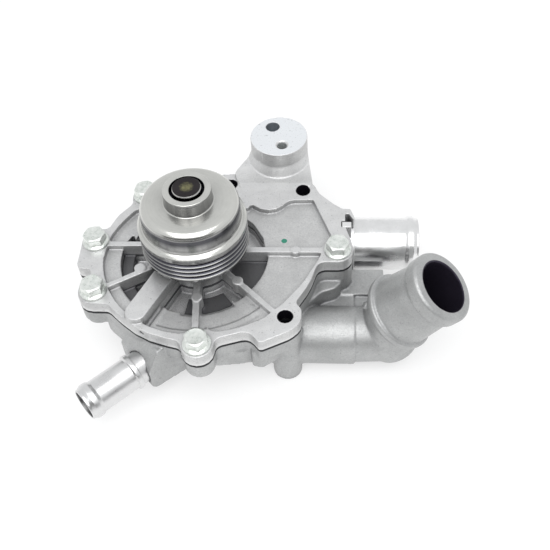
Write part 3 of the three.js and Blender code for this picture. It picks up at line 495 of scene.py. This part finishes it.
def add_lathe(bm, profile, segments, place=Matrix.Identity(4), closed=True):
    """Turns [radius, height] points in mm round Z, as metres, and moves the result by place."""
    rings = []
    for radius, height in profile:
        if radius < 1e-6:
            rings.append([bm.verts.new(place @ Vector((0, 0, height * MM)))])
            continue
        ring = []
        for i in range(segments):
            a = 2 * math.pi * i / segments
            spot = Vector((radius * math.cos(a), radius * math.sin(a), height)) * MM
            ring.append(bm.verts.new(place @ spot))
        rings.append(ring)
    pairs = list(zip(rings, rings[1:]))
    if closed:
        pairs.append((rings[-1], rings[0]))
    for low, high in pairs:
        for i in range(segments):
            j = (i + 1) % segments
            corners = [low[i % len(low)], low[j % len(low)], high[j % len(high)], high[i % len(high)]]
            unique = list(dict.fromkeys(corners))
            if len(unique) > 2:
                bm.faces.new(unique)
    bmesh.ops.recalc_face_normals(bm, faces=bm.faces[:])


def lathe(
    name, corners, material, segments=ROUND, place=Matrix.Identity(4), closed=True, steps=5, sharp=35,
):
    bm = bmesh.new()
    add_lathe(bm, filleted(corners, closed, steps), segments, place, closed)
    return new_object(name, bm, material, sharp)


def along(start, direction):
    """The placement that turns local Z into direction at start, in mm."""
    turn = Vector((0, 0, 1)).rotation_difference(Vector(direction)).to_matrix().to_4x4()
    return Matrix.Translation(Vector(start) * MM) @ turn


def add_disc(bm, low, high, radius, place=Matrix.Identity(4), top=None, segments=96):
    """A closed cone or cylinder from height low to high."""
    top = radius if top is None else top
    add_lathe(bm, [(0, low), (radius, low), (top, high), (0, high)], segments, place, False)


def rebuilt(name, node, material, voxel, smooth, keep, extra=None):
    """The CAD node's solid as one fine mesh with soft edges, round stretches filled out by extra solids."""
    bm = bmesh.new()
    bm.from_mesh(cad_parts[node].data)
    bmesh.ops.remove_doubles(bm, verts=bm.verts[:], dist=1e-6)
    if extra:
        extra(bm)
    rough = new_object(name + "_rough", bm, material, 0)
    remesh = rough.modifiers.new("remesh", "REMESH")
    remesh.mode = "VOXEL"
    remesh.voxel_size = voxel * MM
    soften = rough.modifiers.new("soften", "SMOOTH")
    soften.factor = 0.5
    soften.iterations = smooth
    thin = rough.modifiers.new("thin", "DECIMATE")
    thin.ratio = keep
    graph = bpy.context.evaluated_depsgraph_get()
    mesh = bpy.data.meshes.new_from_object(rough.evaluated_get(graph))
    bpy.data.objects.remove(rough)
    mesh.name = name
    mesh.shade_smooth()
    mesh.materials.clear()
    mesh.materials.append(material)
    made = bpy.data.objects.new(name, mesh)
    bpy.context.scene.collection.objects.link(made)
    return made


# ---------- cast pieces ----------
NECK_LENGTH = 36
NECK_FOOT = MOUTH - NECK_AXIS * NECK_LENGTH + Vector((-1.6, 0, 1.2))
DUCT_Y = -35.9
DUCT_Z = 18
DUCT_RADIUS = 18
DUCT_SEAM = 98
BEND = Vector((119, -34, DUCT_Z + 1.5))
BEND_RADIUS = DUCT_RADIUS + 1.5
TENSIONER = (47.6, 87.5)
TENSIONER_RADIUS = 19.2


def upright(x, y):
    return Matrix.Translation(Vector((x, y, 0)) * MM)


def add_shell(bm, start, end, radius, end_radius):
    """A thin round wall from one point to another, in mm."""
    reach = (Vector(end) - Vector(start)).length
    wall = 2
    ring = [(radius - wall, 0), (radius, 0), (end_radius, reach), (end_radius - wall, reach)]
    add_lathe(bm, ring, ROUND, along(start, (Vector(end) - Vector(start)).normalized()))


def add_bend_cap(bm):
    """The round outside of the elbow's bend."""
    up_neck = (NECK_FOOT - BEND).normalized()
    outward = (Vector((1, 0, 0)) - up_neck).normalized()
    steps = [math.radians(6 * i) for i in range(11)]
    outer = [(BEND_RADIUS * math.sin(a), BEND_RADIUS * math.cos(a)) for a in steps]
    inner = [((BEND_RADIUS - 2) * math.sin(a), (BEND_RADIUS - 2) * math.cos(a)) for a in reversed(steps)]
    add_lathe(bm, outer + inner, ROUND, along(BEND, outward), False)


def round_housing(bm):
    """Smooth neck, duct and bosses over the faceted ones."""
    neck_place = along(NECK_FOOT, (MOUTH - NECK_FOOT).normalized())
    bore, flange, lip = 16.1, 24.2, 22
    bead_low = NECK_LENGTH - 9
    neck = [
        (bore, -6, 0), (lip, -6, 0), (flange, -3, 0.4), (flange, 0, 0.5), (lip, 0.6, 0.4),
        (20, bead_low, 0.8), (lip, bead_low, 0.4), (lip, NECK_LENGTH - 1.4, 0.5),
        (20.6, NECK_LENGTH, 0.5), (bore, NECK_LENGTH, 0),
    ]
    add_lathe(bm, filleted(neck), ROUND, neck_place)
    seam = Vector((DUCT_SEAM, DUCT_Y, DUCT_Z))
    add_shell(bm, (60, DUCT_Y, DUCT_Z), seam, DUCT_RADIUS, DUCT_RADIUS)
    add_shell(bm, seam - Vector((5, 0, 0)), BEND, DUCT_RADIUS - 1, DUCT_RADIUS + 0.4)
    add_shell(bm, BEND, NECK_FOOT, DUCT_RADIUS, 22)
    add_bend_cap(bm)
    boss, bore_wall = 9, 5.4
    for x, y in BOLTS:
        add_disc(bm, 33, 45, boss, upright(x, y), boss, 64)
    low, high = 0.3, 44
    for x, y in MOUNT_HOLES:
        ring = [(bore_wall, low), (boss, low), (boss, high), (bore_wall, high)]
        add_lathe(bm, ring, 64, upright(x, y))


def round_cover(bm):
    """Smooth hub and tensioner boss over the faceted ones."""
    hub_bore, hub_foot, hub_top = 16, 50, 94
    hub = [(hub_bore, hub_foot), (21.5, hub_foot), (20, hub_top), (hub_bore, hub_top)]
    add_lathe(bm, hub, ROUND)
    inner, outer = TENSIONER_RADIUS - 3.8, TENSIONER_RADIUS
    low, high = 56, TENSIONER_TOP - 0.1
    add_lathe(bm, [(inner, low), (outer, low), (outer, high), (inner, high)], ROUND, upright(*TENSIONER))


HOUSING_VOXEL = 0.62
COVER_VOXEL = 0.5
KEPT_FACES = 0.35
housing = rebuilt(
    "housing_casting", "rear_housing", HOUSING_METAL, HOUSING_VOXEL, 5, KEPT_FACES, round_housing,
)
register(housing, "frame", "cast_aluminium", "rear_housing")
cover = rebuilt("cover_casting", "front_cover", COVER_METAL, COVER_VOXEL, 3, KEPT_FACES, round_cover)
register(cover, "frame", "cover_aluminium", "front_cover")


# ---------- pulley and shaft ----------
def make_pulley():
    low, rim, pitch = PULLEY_LOW, PULLEY_RADIUS, GROOVE_PITCH
    drum_top, collar_top = 101.9, 111.1
    bore, seat = PULLEY_BORE, 8.66
    seat_low, seat_high = 97.5, 106.5
    groove_low = low + 1.9
    corners = [(29.4, low, 0.4), (rim, low, 0.5), (rim, groove_low, 0.4)]
    for i in range(4):
        z = groove_low + i * pitch
        corners += [(rim - 2.7, z + 1.45, 0.35), (rim - 2.7, z + 2.05, 0.35)]
        corners += [(rim - 0.15, z + 3.15, 0.25), (rim - 0.15, z + pitch, 0.25)]
    corners += [
        (rim, GROOVES_TOP, 0.3), (rim, 85.2, 1.0), (31.6, 86.6, 0.5), (30.2, 87.2, 1.2), (29.9, 88.8, 1.0),
        (29.6, drum_top, 6.2), (14.6, drum_top, 0.9), (14.1, collar_top, 0.7), (bore, collar_top, 0.4),
        (bore, seat_high, 0.4), (seat, seat_high, 0.2), (seat, seat_low, 0.3), (11.5, seat_low, 0.3),
        (12.5, 99, 0.5), (24, 99, 3.5),
        (27.2, 95.5, 2), (27.4, 88.6, 1.5), (28.6, 86.6, 1.5), (28.6, 68, 0.8),
    ]
    pulley = lathe("belt_pulley", corners, PULLEY_STEEL, 160, steps=7, sharp=60)
    register(pulley, "rotor", "pulley_steel", "pulley")


def make_shaft():
    foot, radius, top = 22, SHAFT_RADIUS, SHAFT_END
    race_low, race_middle, race_high = 82.2, 84, 85.8  # the ball row's groove
    corners = [
        (0, foot, 0), (radius - 0.8, foot, 0), (radius, foot + 0.8, 0),
        (radius, race_low, 0), (radius - 0.57, race_middle, 0), (radius, race_high, 0),
        (radius, top - 0.7, 0.2), (radius - 0.5, top, 0.2), (0, top, 0),
    ]
    register(lathe("pump_shaft", corners, SHAFT_STEEL, 96, closed=False), "rotor", "dark_steel", "shaft")


make_pulley()
make_shaft()


# ---------- hose tubes ----------
def tube_profile(radius, wall, length, bead, ring=None):
    corners = [(radius - wall, 0, 0), (radius, 0, 0.3)]
    if ring:
        corners += [(radius, ring, 0.2), (radius + 1.3, ring + 0.3, 0.4), (radius + 1.3, ring + 3, 0.6)]
        corners += [(radius, ring + 3.6, 0.5)]
    corners += [
        (radius, length - 8.8, 1.5), (radius + bead, length - 6.8, 1.4), (radius + bead, length - 3.6, 1.4),
        (radius - 0.1, length - 1.4, 1.0), (radius - 0.2, length, 0.5), (radius - wall, length, 0.4),
    ]
    return corners


TUBE_START = (84, 32.3, 27)
RIGHT_RADIUS = 17.4
RIGHT_LENGTH = 56.1
LEFT_RADIUS = 10.3
LEFT_INSIDE = 18
LEFT_LENGTH = 37
COLLAR_X = 94.1
COLLAR_WIDTH = 4.2
TAB_LOW = 22.2
TAB_HIGH = 26.7


def make_tubes():
    place = along(TUBE_START, (1, 0, 0))
    right = lathe("right_tube", tube_profile(RIGHT_RADIUS, 1.6, RIGHT_LENGTH, 1.0), TUBE_METAL, ROUND, place)
    register(right, "frame", "bright_tube", "right_hose_tube")
    place = along(LEFT_TUBE_FOOT - LEFT_TUBE_AXIS * LEFT_INSIDE, LEFT_TUBE_AXIS)
    profile = tube_profile(LEFT_RADIUS, 1.5, LEFT_INSIDE + LEFT_LENGTH, 1.1, LEFT_INSIDE + 1)
    left = lathe("left_tube", profile, SATIN_TUBE, 96, place)
    register(left, "frame", "bright_tube", "left_hose_tube")


def add_block(bm, low, high):
    middle = (Vector(low) + Vector(high)) / 2 * MM
    size = (Vector(high) - Vector(low)) * MM
    bmesh.ops.create_cube(bm, size=1, matrix=Matrix.Translation(middle) @ Matrix.Diagonal((*size, 1)))


def make_collar():
    low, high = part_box("right_tube_collar")
    low, high = low / MM, high / MM
    bm = bmesh.new()
    inner, outer = RIGHT_RADIUS + 0.2, RIGHT_RADIUS + 1.6
    ring = [(inner, 0, 0), (outer, 0, 0.3), (outer, COLLAR_WIDTH, 0.9), (inner, COLLAR_WIDTH, 0.3)]
    add_lathe(bm, filleted(ring), ROUND, along((COLLAR_X, 32.3, 27), (1, 0, 0)))
    add_block(bm, (low.x, TAB_LOW, 43.8), (COLLAR_X + 1.9, TAB_HIGH, high.z))
    collar = new_object("tube_collar", bm, COLLAR_METAL, 30)
    bevel = collar.modifiers.new("edges", "BEVEL")
    bevel.width = 0.25 * MM
    bevel.segments = 3
    bevel.limit_method = "ANGLE"
    bevel.angle_limit = math.radians(50)
    register(collar, "frame", "bright_tube", "right_tube_collar")


make_tubes()
make_collar()


# ---------- bolts ----------
def make_bolt(index, x, y, turn):
    """A flange bolt: hexagon with its top chamfered by a cone, a sloped flange and the shank."""
    across, corner, height = 6.45, 7.28, 7.6
    chamfer_start = 5.6
    shank, shank_end = 3.9, -19.3
    bm = bmesh.new()
    flange = [
        (shank, shank_end, 0.5), (shank, -0.01, 0), (8.4, -0.01, 0.2), (8.4, 1.1, 0.5), (6.8, 2.1, 0.6),
        (0, 2.1, 0),
    ]
    add_lathe(bm, [(0, shank_end)] + [tuple(p) for p in filleted(flange, False)], 72, closed=False)
    seat = Matrix.Translation((0, 0, BOLT_SEAT * MM))
    place = upright(x, y) @ seat @ Matrix.Rotation(math.radians(turn), 4, "Z")
    rings = [[], [], [], []]
    sides = 12
    for i in range(6 * sides):
        a = i * 2 * math.pi / (6 * sides)
        from_middle = (i % sides) * math.pi / (3 * sides) - math.pi / 6
        reach = min(across / math.cos(from_middle), corner)
        top = height - 0.55 * max(0.0, reach - chamfer_start)
        levels = [(reach, 1.4), (reach, top), (chamfer_start, height), (chamfer_start - 1.1, height - 0.25)]
        for ring, (r, z) in zip(rings, levels):
            ring.append(bm.verts.new(Vector((r * math.cos(a), r * math.sin(a), z)) * MM))
    for low, high in zip(rings, rings[1:]):
        for i in range(len(low)):
            j = (i + 1) % len(low)
            bm.faces.new((low[i], low[j], high[j], high[i]))
    bm.faces.new(rings[-1])
    bm.faces.new(rings[0][::-1])
    bm.transform(place)
    bolt = new_object(f"flange_bolt_{index}", bm, ZINC, 25)
    bevel = bolt.modifiers.new("edges", "BEVEL")
    bevel.width = 0.22 * MM
    bevel.segments = 2
    bevel.limit_method = "ANGLE"
    bevel.angle_limit = math.radians(28)
    register(bolt, "frame", "zinc_bolt", f"cover_bolt_{index}")


for number, (bolt_x, bolt_y) in enumerate(BOLTS, 1):
    make_bolt(number, bolt_x, bolt_y, 12 + 17 * (number - 1))


# ---------- carried-over CAD nodes ----------
CARRIED = {
    "cover_gasket": GASKET,
    "drain_ball_plug": BEARING_STEEL,
    "impeller": IMPELLER_STEEL,
    "bearing_outer_race": BEARING_STEEL,
    "bearing_ball_set": BEARING_STEEL,
    "bearing_roller_set": BEARING_STEEL,
    "bearing_seal_front": RUBBER,
    "bearing_seal_rear": RUBBER,
    "seal_case": BRASS,
    "seal_spring": BEARING_STEEL,
    "seal_carbon_ring": CARBON,
    "seal_ceramic_seat": CERAMIC,
    "seal_seat_boot": RUBBER,
}
for node_name, metal in CARRIED.items():
    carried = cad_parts[node_name]
    carried.data.materials.clear()
    carried.data.materials.append(metal)


# ---------- studio ----------
STAGE_MIDDLE = Vector((0.03, 0, 0.05))


def make_floor():
    bpy.ops.mesh.primitive_plane_add(size=6, location=(0, 0, CAD_LOW.z - 0.0002))
    floor = bpy.context.object
    floor.name = "floor"
    g = Graph("floor", emission_strength=0.58)
    g.shader.inputs["Emission Color"].default_value = grey(1.0)
    color = g.mix(g.noise(3, 2), grey(0.40), grey(0.42))
    floor.data.materials.append(g.finish(color, 0.9))


def card(name, place, height, width, shade):
    """A plain card that only reflections see."""
    bpy.ops.mesh.primitive_plane_add(size=1)
    plane = bpy.context.object
    plane.name = name
    plane.matrix_world = place @ Matrix.Diagonal((height, width, 1, 1))
    material = bpy.data.materials.new(name)
    material.use_nodes = True
    shader = material.node_tree.nodes["Principled BSDF"]
    shader.inputs["Base Color"].default_value = grey(0.0)
    shader.inputs["Specular IOR Level"].default_value = 0.0
    shader.inputs["Emission Color"].default_value = grey(shade)
    shader.inputs["Emission Strength"].default_value = 1.0
    plane.data.materials.append(material)
    plane.visible_camera = False
    plane.visible_diffuse = False
    plane.visible_shadow = False


def standing_card(name, angle, height, width, distance, shade):
    """A card in front of the pump, at an angle above the horizon and facing it."""
    a = math.radians(angle)
    toward = Vector((0, -math.cos(a), math.sin(a)))
    place = Matrix.Translation(STAGE_MIDDLE + toward * distance)
    card(name, place @ toward.to_track_quat("Z", "X").to_matrix().to_4x4(), height, width, shade)


def soft_light(name, direction, distance, size, size_y, radiance):
    data = bpy.data.lights.new(name, "AREA")
    data.shape = "RECTANGLE"
    data.size = size
    data.size_y = size_y
    data.energy = radiance * math.pi * size * size_y
    light = bpy.data.objects.new(name, data)
    toward = Vector(direction).normalized()
    light.matrix_world = (
        Matrix.Translation(STAGE_MIDDLE + toward * distance)
        @ toward.to_track_quat("Z", "Y").to_matrix().to_4x4()
    )
    bpy.context.scene.collection.objects.link(light)


def make_world():
    world = bpy.data.worlds.new("studio")
    bpy.context.scene.world = world
    world.use_nodes = True
    background = world.node_tree.nodes["Background"]
    background.inputs["Color"].default_value = (0.98, 0.99, 1.0, 1)
    background.inputs["Strength"].default_value = 0.85


make_floor()
make_world()
SOFTBOX_RISE = math.radians(65)
SOFTBOX_WAY = (0, -math.cos(SOFTBOX_RISE), math.sin(SOFTBOX_RISE))
CARD_WIDTH = 2.2
soft_light("softbox", SOFTBOX_WAY, 0.95, 1.0, 0.9, 2.1)
standing_card("dark_card", 16, 0.40, CARD_WIDTH, 0.9, 0.17)
card("floor_card", Matrix.Translation((0.03, -0.66, CAD_LOW.z + 0.001)), CARD_WIDTH, 0.62, 0.28)

scene = bpy.context.scene
scene.view_settings.view_transform = "Standard"
scene.view_settings.look = "None"
